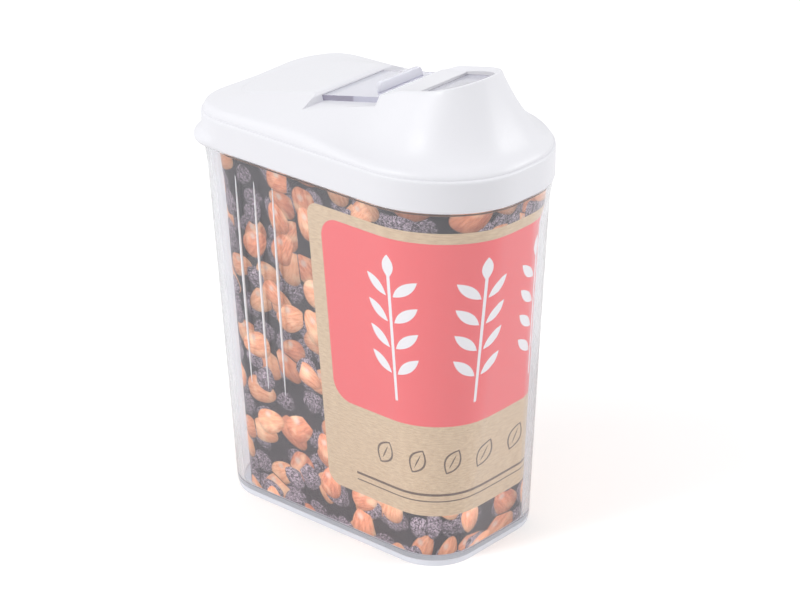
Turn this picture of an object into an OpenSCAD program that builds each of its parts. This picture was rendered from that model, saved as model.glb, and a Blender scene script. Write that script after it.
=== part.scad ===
// Pouring canister for dry food: a clear drafted container, a white lid with an
// inclined roof and a raised pouring spout, a clear shutter that slides in a slot
// through the roof, and a printed card sleeve that lines the container.
// X runs along the canister towards the spout, Y across it, Z up.
// The origin is the centre of the underside. Lengths are in millimetres.

/* [Container] */
// Length of the container at its underside
base_length = 90; // [80:0.5:100]
// Width of the container at its underside
base_width = 51.5; // [46:0.5:58]
// Radius of the four upright corners at the underside
base_corner = 14.5; // [10:0.5:18]
// Height of the lower edge of the lid above the underside
shoulder_height = 115.4; // [90:0.2:140]
// Angle by which every wall leans outwards
draft_angle = 2.58; // [1:0.02:3.5]
// Radius of the rear corners at the shoulder
rear_corner = 15.2; // [11:0.2:18]
// Radius of the front corners at the shoulder
front_corner = 26; // [20:0.5:28]
// How far the front end bows out at the shoulder
nose_bow = 3.8; // [2:0.1:6]
// Thickness of the container walls
wall = 1.9; // [1.4:0.1:2.4]
// Thickness of the container floor
floor_thickness = 3.0; // [2.2:0.1:6]
// How far the wall swells out just under the lid
rim_swell = 0.7; // [0.2:0.1:0.8]
// Height of the band over which the wall swells out
rim_band = 9; // [4:0.5:12]
// Height of the slimmer foot band at the underside
foot_height = 1.8; // [1.5:0.1:4]
// How far the foot band is set in from the wall above it
foot_inset = 0.3; // [0.2:0.1:1]
// Depth of the ledge around the neck under the lid
neck_inset = 1.0; // [0.8:0.1:1.4]
// Thickness of the neck
neck_wall = 1.4; // [1.2:0.1:1.8]
// Height of the neck above the lower edge of the lid
neck_height = 7.2; // [6:0.2:8]
// Gap between the ledge around the neck and the lower edge of the lid
ledge_gap = 0.3; // [0.2:0.1:0.6]

/* [Grip ribs] */
// Number of upright grip ribs on each long wall
rib_count = 3; // [1:1:5]
// Distance from one grip rib to the next at the shoulder
rib_pitch = 7.4; // [6:0.2:9]
// Place of the grip rib nearest the rear, ahead of the rear end at the shoulder
rib_start = 20.4; // [18:0.2:24]
// Radius of a grip rib at its upper end
rib_radius = 0.65; // [0.5:0.05:0.9]
// Height at which the grip ribs start
rib_low = 41; // [30:1:60]
// Height at which the grip ribs end
rib_high = 110; // [80:1:111]

/* [Lid] */
// How far the skirt stands proud of the container wall
skirt_proud = 1.2; // [0.8:0.1:1.6]
// Height of the skirt
skirt_height = 9.6; // [9:0.1:11]
// Running gap between the skirt and the neck
skirt_gap = 0.3; // [0.2:0.05:0.4]
// Gap between the lid and the neck's upper edge
seat_gap = 0.2; // [0.1:0.05:0.3]
// How far the seal ring reaches down into the neck
seal_depth = 5; // [3:0.5:6]
// Thickness of the seal ring
seal_wall = 1.2; // [0.9:0.1:1.6]
// Height of the roof above the skirt's lower edge, half way along
roof_rise = 22.4; // [20:0.2:25]
// Angle at which the roof climbs towards the spout
roof_slope = 12.4; // [9:0.1:15]
// Thickness of the roof over the shutter
roof_skin = 1.3; // [1.1:0.1:1.6]
// Half width of the roof at its rear end
roof_rear_half = 19.6; // [17:0.2:22]
// How far the roof ends ahead of the rear skirt
roof_rear_setback = 4.6; // [3:0.2:7]
// How far the pull lip flares out at the rear corners
lip_flare = 2.3; // [1.5:0.1:3]
// Height over which the pull lip flares out
lip_height = 4.4; // [3.5:0.1:6]

/* [Spout] */
// Distance of the spout's axis from mid-length
spout_x = 27.7; // [24:0.1:30]
// Outer radius of the spout's rim
spout_radius = 13.3; // [12.5:0.1:14.5]
// Radius of the round end of the pouring hole
hole_radius = 11.3; // [9:0.1:11.6]
// Distance of the hole's straight edge from mid-length
hole_edge_x = 22.9; // [20:0.1:25]
// Height of the rim's crest above the roof plane
rim_rise = 0.9; // [0.2:0.1:1]
// How strongly the rim curls up ahead of its axis, per millimetre squared
rim_curl = 0.0062; // [0:0.0002:0.008]
// Depth of the dish inside the rim, below its crest
rim_depth = 1.4; // [0.6:0.1:1.4]
// How far ahead of the slot the rim has risen to its full height
rim_sweep = 7.5; // [5:0.5:10]
// How far the bridge's rear edge lies below the roof plane
bridge_drop = 0.7; // [0.4:0.05:0.7]

/* [Shutter] */
// Distance of the slot's rear edge from mid-length
slot_rear = 10.9; // [10:0.1:13]
// Distance of the slot's front edge from mid-length
slot_front = 11.7; // [10:0.1:13]
// Length of the rolled edge behind the slot
slot_roll = 1.8; // [1.2:0.1:2.4]
// Thickness of the shutter plate
plate_thickness = 1.6; // [1.2:0.1:2]
// Half width of the shutter plate in the slot
plate_half = 13.4; // [12.6:0.1:13.6]
// Gap between the plate and the roof, its bed and its side guides
plate_gap = 0.2; // [0.15:0.05:0.3]
// How far the plate overlaps the pouring hole all round
plate_overlap = 1; // [0.8:0.1:1.2]
// Travel from closed to open
travel = 17.4; // [14:0.2:18]
// Thickness of the bed on which the plate slides
bed_thickness = 1.4; // [1.1:0.1:1.8]
// Half width of the finger grip
grip_half = 9.6; // [7:0.2:11]
// Thickness of the finger grip
grip_thickness = 1.7; // [1.4:0.1:2.4]
// Height of the finger grip above the plate
grip_height = 3.2; // [2:0.1:4]
// Distance of the finger grip from mid-length when closed
grip_x = 7.3; // [6:0.1:8.5]

/* [Card sleeve] */
// Thickness of the card
card_thickness = 0.4; // [0.3:0.05:0.6]
// Gap between the card and the container wall
card_gap = 0.5; // [0.3:0.05:1]
// Extra room between the card and the rear wall
card_rear_room = 3.6; // [2:0.1:5]
// Gap between the card and the container floor
card_lift = 0.2; // [0.1:0.05:0.5]
// Distance of the card's upper edge below the neck's upper edge
card_drop = 9.6; // [8:0.2:14]

/* [Hidden] */
$fn = 48;

clear_plastic = [0.80, 0.86, 0.90, 0.45];
shutter_plastic = [0.76, 0.77, 0.84, 0.6];
white_plastic = [0.95, 0.95, 0.96];
card_print = [0.78, 0.60, 0.44];

// Steps round one half of an outline: rear corner, long side, front corner
rear_steps = 8;
side_steps = 10;
front_steps = 12;

lean = tan(draft_angle);
mouth_length = base_length + 2 * lean * shoulder_height;
mouth_width = base_width + 2 * lean * shoulder_height;
neck_top = shoulder_height + neck_height;
neck_inner = -neck_inset - neck_wall;
ledge_z = shoulder_height - ledge_gap;
edge_round = 0.4;
floor_round = card_gap;

function mix(a, b, t) = a + (b - a) * t;
function smooth(a, b, x) = let(t = max(0, min(1, (x - a) / (b - a)))) t * t * (3 - 2 * t);

// ---- Outlines -------------------------------------------------------------
// The half of an outline with y <= 0, from the rear end to the front end.
function half_outline(len, wid, r_rear, r_front, bow) = let(
        rear_c = [-len / 2 + r_rear, -wid / 2 + r_rear],
        front_c = [len / 2 - r_front, -wid / 2 + r_front]
    ) concat(
        [[-len / 2, 0]],
        [for (i = [0:rear_steps]) let(a = 180 + 90 * i / rear_steps)
            rear_c + r_rear * [cos(a), sin(a)]],
        [for (i = [1:side_steps - 1]) [mix(rear_c[0], front_c[0], i / side_steps), -wid / 2]],
        [for (i = [0:front_steps]) let(
                a = -90 + 90 * i / front_steps,
                p = front_c + r_front * [cos(a), sin(a)])
            p + [bow * (1 - pow(2 * p[1] / wid, 2)), 0]],
        [[len / 2 + bow, 0]]
    );

// Outline of the container wall at height z, moved outwards by off
function wall_outline(z, off) = let(t = z / shoulder_height, grow = 2 * (lean * z + off))
    half_outline(base_length + grow, base_width + grow,
        mix(base_corner, rear_corner, t) + off, mix(base_corner, front_corner, t) + off,
        nose_bow * t);

// Outline of the mouth of the container, moved outwards by off
function mouth_outline(off) = wall_outline(shoulder_height, off);

// ---- Skins over rings -----------------------------------------------------
function level(half, z) = [for (p = half) [p[0], p[1], z]];
function full_ring(half) = concat(half,
    [for (i = [len(half) - 2:-1:1]) [half[i][0], -half[i][1], half[i][2]]]);

// A skin over half rings that all have the same number of points. The two end
// rings are closed by strips that run across from side to side, with a fan at
// each end, or they are joined to each other where the skin is a tube.
module skin(halves, tube = false) {
    m = len(halves[0]);
    n = 2 * m - 2;
    count = len(halves);
    last = (count - 1) * n;
    points = [for (h = halves) each full_ring(h)];
    sides = [for (k = [0:tube ? count - 1 : count - 2], i = [0:n - 1]) let(
            next = (k + 1) % count * n,
            a = k * n + i, b = k * n + (i + 1) % n, c = next + (i + 1) % n, d = next + i)
        each [[a, d, c], [a, c, b]]];
    rear_fan = [[0, 1, 2], [0, 2, n - 2], [0, n - 2, n - 1]];
    front_fan = [[m - 1, m, m + 1], [m - 1, m + 1, m - 3], [m - 1, m - 3, m - 2]];
    strips = [for (j = [2:m - 4]) [j, j + 1, n - j - 1, n - j]];
    first_cap = concat(rear_fan, strips, front_fan);
    last_cap = [for (q = first_cap) [for (i = [len(q) - 1:-1:0]) last + q[i]]];
    caps = tube ? [] : concat(first_cap, last_cap);
    polyhedron(points = points, faces = concat(sides, caps), convexity = 8);
}

// ---- Container ------------------------------------------------------------
module container_shell() {
    skin([
        level(wall_outline(0, -foot_inset - edge_round), 0),
        level(wall_outline(edge_round, -foot_inset), edge_round),
        level(wall_outline(foot_height, -foot_inset), foot_height),
        level(wall_outline(foot_height + edge_round, 0), foot_height + edge_round),
        level(wall_outline(ledge_z - rim_band, 0), ledge_z - rim_band),
        level(wall_outline(ledge_z - rim_band / 2, rim_swell * 0.7), ledge_z - rim_band / 2),
        level(wall_outline(ledge_z, rim_swell), ledge_z - edge_round),
        level(mouth_outline(rim_swell - edge_round), ledge_z),
        level(mouth_outline(-neck_inset), ledge_z),
        level(mouth_outline(-neck_inset), neck_top - edge_round),
        level(mouth_outline(-neck_inset - edge_round / 2), neck_top),
        level(mouth_outline(neck_inner + edge_round / 2), neck_top),
        level(mouth_outline(neck_inner), neck_top - edge_round),
        level(mouth_outline(neck_inner), seat_z - seal_depth - 1),
        level(wall_outline(shoulder_height - 8, -wall), shoulder_height - 8),
        level(wall_outline(floor_thickness + floor_round, -wall), floor_thickness + floor_round),
        level(wall_outline(floor_thickness, -wall - floor_round), floor_thickness)
    ]);
}

// Upright grip rib: a slim cone half sunk in the wall, leaning with it
module grip_rib(i, side) {
    shrink = (mouth_length - 2 * lean * (shoulder_height - rib_low)) / mouth_length;
    x_top = -mouth_length / 2 + rib_start + rib_pitch * i;
    run = [x_top * (1 - shrink), lean * (rib_high - rib_low)];
    y_low = base_width / 2 + lean * rib_low;
    translate([x_top * shrink, side * y_low, rib_low])
        rotate([-side * atan(run[1] / (rib_high - rib_low)), atan(run[0] / (rib_high - rib_low)), 0])
            cylinder(h = rib_high - rib_low, r1 = rib_radius * 0.6, r2 = rib_radius, $fn = 16);
}

module container() {
    color(clear_plastic) union() {
        container_shell();
        for (i = [0:rib_count - 1], side = [-1, 1])
            grip_rib(i, side);
    }
}

// ---- Lid ------------------------------------------------------------------
slope_tan = tan(roof_slope);
slope_cos = cos(roof_slope);
lid_top = shoulder_height + skirt_height;
seat_z = neck_top + seat_gap;
plate_depth = roof_skin + plate_gap;
bed_depth = plate_depth + plate_thickness + plate_gap;
slab_depth = bed_depth + bed_thickness;

// Height of the roof plane at x
function roof_z(x) = shoulder_height + roof_rise + slope_tan * x;

// Height of the fold's crest above the roof plane at x: it sinks along the slot,
// sweeps up ahead of it to the rim, and curls up towards the spout's tip.
function swept(x) = smooth(slot_front, slot_front + rim_sweep, x);
function crest_lift(x) = -bridge_drop * smooth(-slot_rear, slot_front, x)
    + (bridge_drop + rim_rise) * swept(x) + rim_curl * pow(max(0, x - spout_x), 2);

// Half width of the roof at x: it widens in a slow curve from the spout to the rear
roof_run = spout_x + mouth_length / 2 - roof_rear_setback;
function roof_half(x, near, far) = let(t = (spout_x - x) / roof_run)
    near + (far - near) * (0.3 * t + 0.7 * t * t);

// Outline of the roof, from its rear end along the fold to the spout's tip.
// grow_spout and grow_rear move it outwards for the inner face of the lid.
function roof_outline(grow_spout, grow_rear) = let(
        near = spout_radius + grow_spout,
        far = roof_rear_half + grow_rear,
        rear_x = -mouth_length / 2 + roof_rear_setback - min(0, grow_rear),
        corner = rear_corner - 3,
        side_end = rear_x + corner,
        far_here = roof_half(side_end, near, far)
    ) concat(
        [[rear_x, 0]],
        [for (i = [0:rear_steps]) let(a = 180 + 90 * i / rear_steps)
            [rear_x + corner, -far_here + corner] + corner * [cos(a), sin(a)]],
        [for (i = [1:side_steps - 1]) let(x = mix(side_end, spout_x, i / side_steps))
            [x, -roof_half(x, near, far)]],
        [for (i = [0:front_steps]) let(a = -90 + 80 * i / front_steps)
            [spout_x + near * slope_cos * cos(a), near * sin(a)]],
        [[spout_x + near * slope_cos, 0]]
    );

// Rise of the dome's side: a rounded shoulder, then a slope that turns hollow
// towards the spout. u runs from the skirt (0) to the fold (1).
function dome_rise(u, run, rise, front) = let(
        shoulder_w = min(0.5, mix(2.2, 2.4, front) / run),
        shoulder_h = min(0.75, mix(2.7, 1.8, front) / rise),
        v = min(1, u / shoulder_w),
        power = mix(0.94, 1.75, front)
    ) shoulder_h * sqrt(1 - (1 - v) * (1 - v)) + (1 - shoulder_h) * pow(u, power);

function dome_ring(low, low_z, high, high_lift, u) = [for (i = [0:len(low) - 1]) let(
        high_z = roof_z(high[i][0]) + high_lift(high[i][0]),
        run = norm(high[i] - low[i]),
        front = smooth(-6, 26, high[i][0]),
        p = mix(low[i], high[i], u))
    [p[0], p[1], mix(low_z, high_z, dome_rise(u, run, high_z - low_z, front))]];

// A ring of the fold: inset from the outline, below its crest by sag, and down
// into the dish by a share of its depth
function crest_ring(inset, sag, share) = [for (p = roof_outline(-inset, -inset))
    [p[0], p[1], roof_z(p[0]) + crest_lift(p[0]) - sag - share * rim_depth * swept(p[0])]];

dome_steps = [0.02, 0.06, 0.12, 0.2, 0.35, 0.5, 0.65, 0.8, 0.91, 1];
fold_round = 0.4;
// From the fold to the dish's ring, which lies inside the hole so that the hole
// cuts the rim's inner slope
rim_width = spout_radius - hole_radius + 0.5;
inner_steps = [1, 0.8, 0.6, 0.4, 0.2, 0.1];

// The pull lip fades out where the rear corners meet the long sides
function lip_weight(i) = i == 0 ? 1 : 1 - smooth(0.62, 1, (i - 1) / rear_steps);
function flared(off, flare, z) = let(plain = mouth_outline(off), wide = mouth_outline(off + flare))
    [for (i = [0:len(plain) - 1]) let(p = mix(plain[i], wide[i], lip_weight(i))) [p[0], p[1], z]];

module lid_shell() {
    outer_low = mouth_outline(0.4);
    outer_high = roof_outline(0, 0);
    inner_low = mouth_outline(neck_inner + 0.4);
    inner_high = roof_outline(0.4, 3.6);
    skirt_in = -neck_inset + skirt_gap;
    seal_out = neck_inner - skirt_gap;
    seal_in = seal_out - seal_wall;
    fold_lift = function(x) crest_lift(x) - fold_round;
    slab_lift = function(x) -mix(2.2, slab_depth / slope_cos, smooth(-43, -36, x));
    skin(concat(
        [for (u = inner_steps) dome_ring(inner_low, lid_top - 0.6, inner_high, slab_lift, u)],
        [
            level(inner_low, lid_top - 0.9),
            level(mouth_outline(seal_in), seat_z + 1.4),
            level(mouth_outline(seal_in), seat_z - seal_depth),
            level(mouth_outline(seal_out - 0.3), seat_z - seal_depth),
            level(mouth_outline(seal_out), seat_z - seal_depth + 1),
            level(mouth_outline(seal_out), seat_z),
            level(mouth_outline(skirt_in), seat_z),
            level(mouth_outline(skirt_in), shoulder_height + 0.3),
            level(mouth_outline(skirt_in + 0.3), shoulder_height),
            flared(skirt_proud - 0.4, lip_flare * 0.4, shoulder_height),
            flared(skirt_proud, lip_flare * 0.85, shoulder_height + lip_height * 0.15),
            flared(skirt_proud, lip_flare, shoulder_height + lip_height * 0.35),
            flared(skirt_proud, lip_flare * 0.85, shoulder_height + lip_height * 0.55),
            flared(skirt_proud, lip_flare * 0.2, shoulder_height + lip_height * 0.85),
            level(mouth_outline(skirt_proud), shoulder_height + lip_height),
            level(mouth_outline(skirt_proud), lid_top - 0.6),
            level(mouth_outline(skirt_proud - 0.3), lid_top - 0.1),
            level(outer_low, lid_top + 0.1)
        ],
        [for (u = dome_steps) dome_ring(outer_low, lid_top + 0.1, outer_high, fold_lift, u)],
        [
            crest_ring(rim_width * 0.2, fold_round * 0.25, 0),
            crest_ring(rim_width * 0.42, 0, 0.1),
            crest_ring(rim_width, 0, 1)
        ]
    ));
}

// Frame on the roof plane: u climbs along the roof, the third axis leaves it
module on_roof(depth = 0) {
    translate([0, 0, shoulder_height + roof_rise])
        rotate([0, -roof_slope, 0])
            translate([0, 0, -depth])
                children();
}
function along(x) = x / slope_cos;

// Plan of the shutter plate, grown by gap: wide in the slot, slimmer in the spout
plate_rear = slot_rear + 2.6;
plate_step_x = slot_front - 1.1;
plate_round = hole_radius + plate_overlap;
module plate_plan(gap, rear, step_x) {
    translate([-along(rear) - gap, -plate_half - gap])
        square([along(rear) + along(step_x) + 2 * gap, 2 * (plate_half + gap)]);
    translate([along(step_x), -plate_round - gap])
        square([along(spout_x - step_x), 2 * (plate_round + gap)]);
    translate([along(spout_x), 0])
        circle(r = plate_round + gap, $fn = 72);
}

module hole_plan() {
    intersection() {
        translate([along(hole_edge_x), -hole_radius])
            square([2 * hole_radius, 2 * hole_radius]);
        union() {
            translate([along(spout_x), 0]) circle(r = hole_radius, $fn = 72);
            translate([along(hole_edge_x) - 1, -hole_radius])
                square([along(spout_x - hole_edge_x) + 1, 2 * hole_radius]);
        }
    }
}

// Side view of the slot that crosses the roof: its floor is the bed, and its rear
// edge rolls over in a quarter of an ellipse to meet the roof
cut = 12;
module slot_profile() {
    polygon(concat(
        [[along(slot_front), -bed_depth], [along(slot_front), cut],
         [-along(slot_rear) - slot_roll, cut], [-along(slot_rear) - slot_roll, 0.05]],
        [for (a = [60:-20:0])
            [-along(slot_rear) + slot_roll * (cos(a) - 1), roof_skin * (sin(a) - 1)]],
        [[-along(slot_rear), -bed_depth]]
    ));
}

module lid() {
    color(white_plastic) difference() {
        lid_shell();
        on_roof(bed_depth) linear_extrude(plate_thickness + 2 * plate_gap)
            plate_plan(plate_gap, plate_rear + travel * slope_cos + 1, slot_front);
        on_roof() rotate([90, 0, 0]) linear_extrude(mouth_width, center = true) slot_profile();
        on_roof(slab_depth + 1) linear_extrude(slab_depth + cut) hole_plan();
    }
}

// ---- Shutter --------------------------------------------------------------
module slider() {
    color(shutter_plastic) on_roof(plate_depth + plate_thickness) {
        linear_extrude(plate_thickness) plate_plan(0, plate_rear, plate_step_x);
        translate([along(grip_x), 0, 0]) {
            for (side = [-1, 1])
                translate([0, side * (grip_half - grip_thickness / 2), 0])
                    cylinder(h = plate_thickness + grip_height, d = grip_thickness, $fn = 24);
            translate([-grip_thickness / 2, -grip_half + grip_thickness / 2, 0])
                cube([grip_thickness, 2 * grip_half - grip_thickness, plate_thickness + grip_height]);
        }
    }
}

// ---- Card sleeve ----------------------------------------------------------
card_bottom = floor_thickness + card_lift;
card_top = neck_top - card_drop;
card_out = -wall - card_gap;
function card_outline(z, off) = let(h = wall_outline(z, off), mid = -base_length / 6)
    [for (p = h) [p[0] + card_rear_room * (1 - smooth(-base_length / 2, mid, p[0])), p[1]]];

// The sleeve is a band of card that leans with the walls
module inlay_card() {
    card_in = card_out - card_thickness;
    color(card_print) skin([
        level(card_outline(card_bottom, card_out), card_bottom),
        level(card_outline(card_top, card_out), card_top),
        level(card_outline(card_top, card_in), card_top),
        level(card_outline(card_bottom, card_in), card_bottom)
    ], tube = true);
}

container();
lid();
slider();
inlay_card();
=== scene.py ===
# Pouring canister for dry food: a clear drafted container lined with a printed card, a white
# lid with a raised spout, and a clear shutter that slides in a slot across the lid.
import math

import bmesh
import bpy
from mathutils import Matrix, Vector


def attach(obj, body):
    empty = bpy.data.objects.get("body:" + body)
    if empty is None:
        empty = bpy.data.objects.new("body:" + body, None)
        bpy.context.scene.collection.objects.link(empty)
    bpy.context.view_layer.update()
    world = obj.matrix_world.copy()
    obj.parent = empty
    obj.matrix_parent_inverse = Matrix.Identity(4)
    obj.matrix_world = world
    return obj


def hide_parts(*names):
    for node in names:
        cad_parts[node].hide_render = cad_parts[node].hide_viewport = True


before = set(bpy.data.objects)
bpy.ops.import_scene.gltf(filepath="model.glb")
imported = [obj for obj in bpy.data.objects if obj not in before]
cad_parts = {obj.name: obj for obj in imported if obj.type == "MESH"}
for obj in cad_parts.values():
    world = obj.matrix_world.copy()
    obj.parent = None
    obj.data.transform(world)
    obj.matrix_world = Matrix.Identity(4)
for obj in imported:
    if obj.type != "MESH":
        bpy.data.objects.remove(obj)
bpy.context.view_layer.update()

scene = bpy.context.scene
scene.view_settings.view_transform = "Standard"

# ---- Container ------------------------------------------------------------------------
# The body of the canister, moulded in clear styrene plastic as one drafted cup with a slim
# foot and a stepped neck that the lid sits on. Three grip ribs stand out on each long side.
# Lengths are in millimetres, and mm or to_metres turns them into metres.
mm = 0.001
to_metres = Matrix.Scale(mm, 4)
base_length = 90.0
base_width = 51.5
base_corner = 14.5
shoulder_height = 115.4
lean = math.tan(math.radians(2.58))
rear_corner = 15.2
front_corner = 26.0
nose_bow = 3.8
wall = 1.9
floor_thickness = 3.0
floor_round, floor_bevel = 0.5, 0.15
foot_inset, foot_height, foot_edge = 0.3, 1.8, 0.5
# The foot steps out to the wall over this height, slowly at first
foot_step, foot_ease = 0.5, 0.05
neck_height = 7.2
neck_inset = 1.0
neck_wall = 1.4
neck_edge = 0.4
neck_top = shoulder_height + neck_height
neck_inner = -neck_inset - neck_wall
# Inside, the wall runs into the neck's face from this far below the shoulder
neck_run = 8
# Gaps that keep the lid off the ledge and off the neck, and the room below its seal ring
ledge_gap, seat_gap, seal_room = 0.06, 0.2, 1
ledge_z = shoulder_height - ledge_gap
seat_z = neck_top + seat_gap
seal_depth = 5.0
# Under the ledge the wall swells out along the first part of an S-curve
rim_swell, rim_band, swell_curve = 0.7, 9.0, 1.3
rim_edge, rim_bevel = 0.2, 0.06
mouth_length = base_length + 2 * lean * shoulder_height
mouth_width = base_width + 2 * lean * shoulder_height
# Steps round one half of an outline: rear corner, long side, front corner
rear_steps, side_steps, front_steps = 16, 40, 24


def mix(a, b, t):
    return a + (b - a) * t


def smooth(a, b, x):
    t = max(0.0, min(1.0, (x - a) / (b - a)))
    return t * t * (3 - 2 * t)


def arc(centre, radius, start, sweep, steps):
    """Points of an arc in the plane, both ends included. Angles are in degrees."""
    angles = [math.radians(start + sweep * i / steps) for i in range(steps + 1)]
    return [(centre[0] + radius * math.cos(a), centre[1] + radius * math.sin(a)) for a in angles]


def half_outline(length, width, rear, front, bow):
    """One half of a rounded outline, from the middle of the rear end to that of the nose."""
    rear_centre = (-length / 2 + rear, -width / 2 + rear)
    front_centre = (length / 2 - front, -width / 2 + front)
    points = [(-length / 2, 0.0)] + arc(rear_centre, rear, 180, 90, rear_steps)
    points += [(mix(rear_centre[0], front_centre[0], i / side_steps), -width / 2)
               for i in range(1, side_steps)]
    points += [(x + bow * (1 - (2 * y / width) ** 2), y)
               for x, y in arc(front_centre, front, -90, 90, front_steps)]
    return points + [(length / 2 + bow, 0.0)]


def wall_outline(z, off):
    """The container's outline at height z, moved outwards by off."""
    t = z / shoulder_height
    grow = 2 * (lean * z + off)
    return half_outline(base_length + grow, base_width + grow,
                        mix(base_corner, rear_corner, t) + off,
                        mix(base_corner, front_corner, t) + off, nose_bow * t)


def mouth_outline(off):
    return wall_outline(shoulder_height, off)


def mirrored(half):
    """The whole ring of which this is the near half."""
    return half + [(x, -y, *rest) for x, y, *rest in half[-2:0:-1]]


def level(half, z):
    return [(x, y, z) for x, y in half]


def wall_ring(off, z):
    return level(wall_outline(z, off), z)


def mouth_ring(off, z):
    return level(mouth_outline(off), z)


def skin(name, halves, tube=False):
    """A closed skin over rings, given by halves. A tube joins its last ring to its first; any
    other skin closes both ends with strips that run from side to side."""
    count = len(halves[0])
    around = 2 * count - 2
    points = [(x * mm, y * mm, z * mm) for half in halves for x, y, z in mirrored(half)]
    faces = []
    for k in range(len(halves) if tube else len(halves) - 1):
        low, high = k * around, (k + 1) % len(halves) * around
        for i in range(around):
            j = (i + 1) % around
            faces.append((low + i, high + i, high + j, low + j))
    if not tube:
        nose = count - 1
        cap = [(0, 1, 2), (0, 2, around - 2), (0, around - 2, around - 1)]
        cap += [(j, j + 1, around - j - 1, around - j) for j in range(2, count - 3)]
        cap += [(nose, nose + 1, nose + 2), (nose, nose + 2, nose - 2), (nose, nose - 2, nose - 1)]
        last = (len(halves) - 1) * around
        faces += cap + [tuple(last + i for i in reversed(face)) for face in cap]
    mesh = bpy.data.meshes.new(name)
    mesh.from_pydata(points, [], faces)
    shell = bmesh.new()
    shell.from_mesh(mesh)
    bmesh.ops.recalc_face_normals(shell, faces=shell.faces)
    shell.to_mesh(mesh)
    shell.free()
    return mesh


def stacked(name, rings, placing):
    """A closed solid with flat ends over like rings, made in mm and moved by a matrix."""
    count = len(rings[0])
    points = [point for ring in rings for point in ring]
    faces = [(k * count + i, k * count + (i + 1) % count,
              (k + 1) * count + (i + 1) % count, (k + 1) * count + i)
             for k in range(len(rings) - 1) for i in range(count)]
    faces += [tuple(reversed(range(count))), tuple(range(len(points) - count, len(points)))]
    mesh = bpy.data.meshes.new(name)
    mesh.from_pydata(points, [], faces)
    mesh.transform(placing)
    return mesh


def combined(mesh, tools, operation):
    """The mesh with every tool mesh joined to it or cut from it, worked out exactly."""
    block = bpy.data.objects.new("block", mesh)
    scene.collection.objects.link(block)
    helpers = [bpy.data.objects.new("helper", tool) for tool in tools]
    for helper in helpers:
        scene.collection.objects.link(helper)
        step = block.modifiers.new("step", "BOOLEAN")
        step.object = helper
        step.operation = operation
        step.solver = "EXACT"
    worked_out = block.evaluated_get(bpy.context.evaluated_depsgraph_get())
    result = bpy.data.meshes.new_from_object(worked_out)
    for helper in helpers + [block]:
        bpy.data.objects.remove(helper)
    result.name = mesh.name + "_mesh"
    result.materials.clear()
    return result


def smooth_to_edges(mesh, angle):
    """Smooth shading that stops at edges sharper than the angle, in degrees."""
    sharp = math.radians(angle)
    shell = bmesh.new()
    shell.from_mesh(mesh)
    for face in shell.faces:
        face.smooth = True
    for edge in shell.edges:
        edge.smooth = len(edge.link_faces) == 2 and edge.calc_face_angle(0.0) < sharp
    shell.to_mesh(mesh)
    shell.free()


def place_piece(name, mesh, materials, body, node):
    """Links a finished piece, which rides on a body and takes the place of a CAD node."""
    piece = bpy.data.objects.new(name, mesh)
    scene.collection.objects.link(piece)
    for material in materials:
        mesh.materials.append(material)
    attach(piece, body)
    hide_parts(node)
    return piece


foot_rings = []
for tilt in range(0, 91, 15):
    rise = foot_edge * (1 - math.cos(math.radians(tilt)))
    draw_in = foot_edge * (1 - math.sin(math.radians(tilt)))
    foot_rings.append(wall_ring(-foot_inset - draw_in, rise))
swell_rings = []
for t in (0, 0.15, 0.3, 0.45, 0.6, 0.75, 0.9):
    swell = rim_swell * smooth(0, swell_curve, t) / smooth(0, swell_curve, 1.0)
    swell_rings.append(wall_ring(swell, ledge_z - rim_band * (1 - t)))
wall_levels = [4.4] + [8.0 + 12.0 * i for i in range(9)]
neck_bevel = neck_edge / 4
cup = skin("cup", foot_rings + [
    wall_ring(-foot_inset, foot_height),
    wall_ring(-foot_inset + foot_ease, foot_height + foot_step / 2),
    wall_ring(0, foot_height + foot_step),
] + [wall_ring(0, z) for z in wall_levels] + swell_rings + [
    level(wall_outline(ledge_z, rim_swell), ledge_z - rim_edge),
    mouth_ring(rim_swell - rim_bevel, ledge_z - rim_bevel),
    mouth_ring(rim_swell - rim_edge, ledge_z),
    mouth_ring(-neck_inset, ledge_z),
    mouth_ring(-neck_inset, neck_top - neck_edge),
    mouth_ring(-neck_inset - neck_bevel, neck_top - neck_bevel),
    mouth_ring(-neck_inset - neck_edge, neck_top),
    mouth_ring(neck_inner + neck_edge, neck_top),
    mouth_ring(neck_inner + neck_bevel, neck_top - neck_bevel),
    mouth_ring(neck_inner, neck_top - neck_edge),
    mouth_ring(neck_inner, seat_z - seal_depth - seal_room),
    wall_ring(-wall, shoulder_height - neck_run),
] + [wall_ring(-wall, z) for z in reversed(wall_levels)] + [
    wall_ring(-wall, floor_thickness + floor_round),
    wall_ring(-wall - floor_bevel, floor_thickness + floor_bevel),
    wall_ring(-wall - floor_round, floor_thickness),
])

rib_count = 3
rib_low, rib_high = 41.0, 110.0
rib_radius = 0.65
rib_start, rib_pitch = 20.4, 7.4
rib_ends = []
for i in range(rib_count):
    for side in (-1, 1):
        top_x = -mouth_length / 2 + rib_start + rib_pitch * i
        shrink = 1 - 2 * lean * (shoulder_height - rib_low) / mouth_length
        low_end = Vector((top_x * shrink, side * (base_width / 2 + lean * rib_low), rib_low))
        high_end = low_end + Vector((top_x * (1 - shrink), side * lean * (rib_high - rib_low),
                                     rib_high - rib_low))
        rib_ends.append((low_end, high_end))


def rib_share(z, length):
    """The rib's radius at a height along it, as a share: slim ends and a fuller middle."""
    end_share, more_share, fullness = 0.1, 0.62, 0.6
    along_rib = min(1.0, max(0.0, z / length))
    return end_share + more_share * math.sin(math.pi * along_rib) ** fullness


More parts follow.
